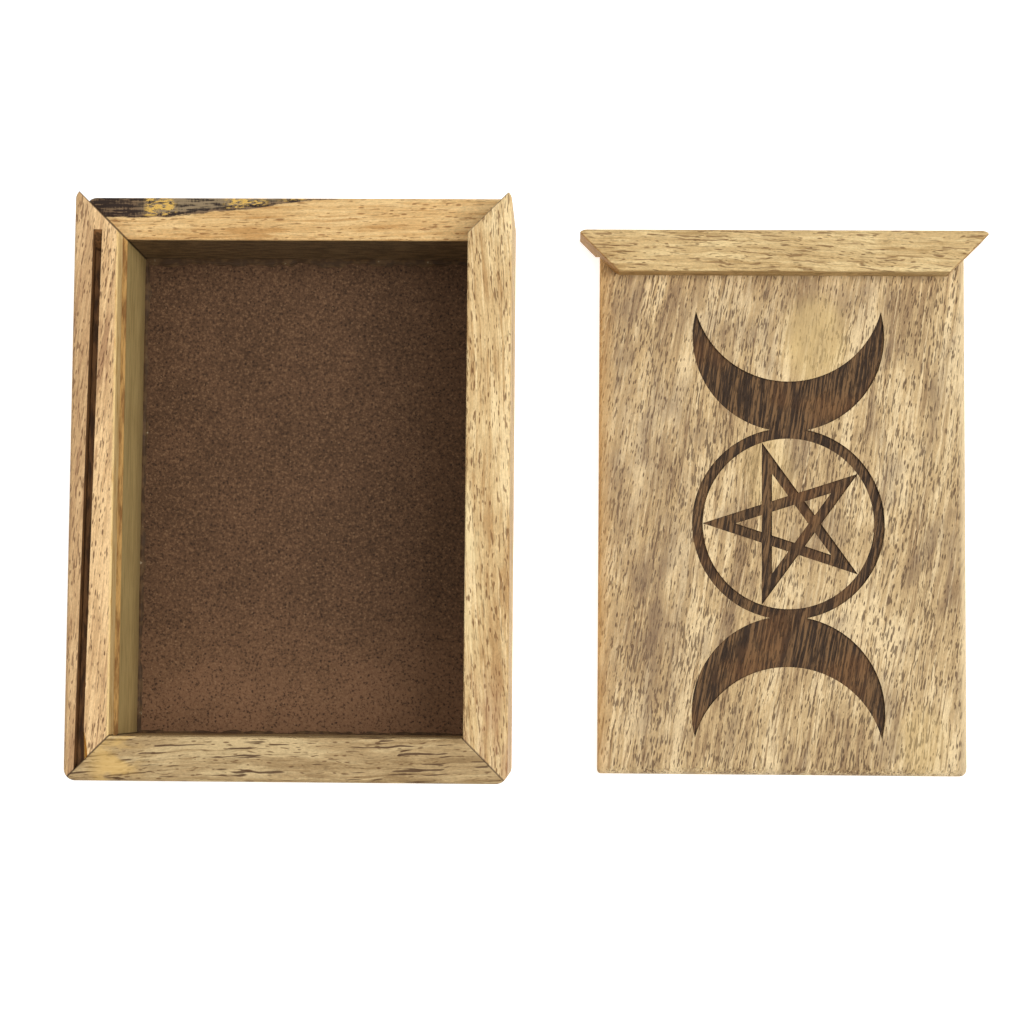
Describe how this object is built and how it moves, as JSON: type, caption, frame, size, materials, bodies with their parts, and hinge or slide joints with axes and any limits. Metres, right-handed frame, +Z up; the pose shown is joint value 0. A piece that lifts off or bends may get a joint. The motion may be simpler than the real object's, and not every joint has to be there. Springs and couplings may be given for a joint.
{
  "type": "card deck box",
  "caption": "Mitred wooden tray for a boxed deck of cards, with a carved lid that slides in grooves and lies beside it.",
  "frame": {"origin": "centre of the tray's underside", "axes": "+X from the tray to the lid lying beside it, +Y to the tray's low front wall and the lid's rail, +Z up"},
  "size_m": [0.2428, 0.154, 0.045],
  "materials": {
    "left_wall_wood": "bare sanded wood, waxed",
    "right_wall_wood": "bare sanded wood, waxed",
    "rear_wall_wood": "bare sanded wood, waxed",
    "front_wall_wood": "bare sanded wood, waxed",
    "hardboard": "brown hardboard, rough face up",
    "lid_panel_wood": "bare sanded wood, waxed; carving burnt dark",
    "lid_rail_wood": "bare sanded wood, waxed",
    "brad_steel": "bright wire"
  },
  "bodies": {
    "tray": {"left_wall": "left_wall_wood", "right_wall": "right_wall_wood", "rear_wall": "rear_wall_wood", "front_wall": "front_wall_wood", "base_panel": "hardboard", "corner_brads": "brad_steel", "base_brads": "brad_steel"},
    "lid": {"lid_panel": "lid_panel_wood", "lid_rail": "lid_rail_wood", "rail_brads": "brad_steel"}
  },
  "joints": [
    {"name": "lid_lift", "type": "slide", "parent": "tray", "child": "lid", "axis": [0, 0, 1], "range_m": [0, 0.06]}
  ]
}
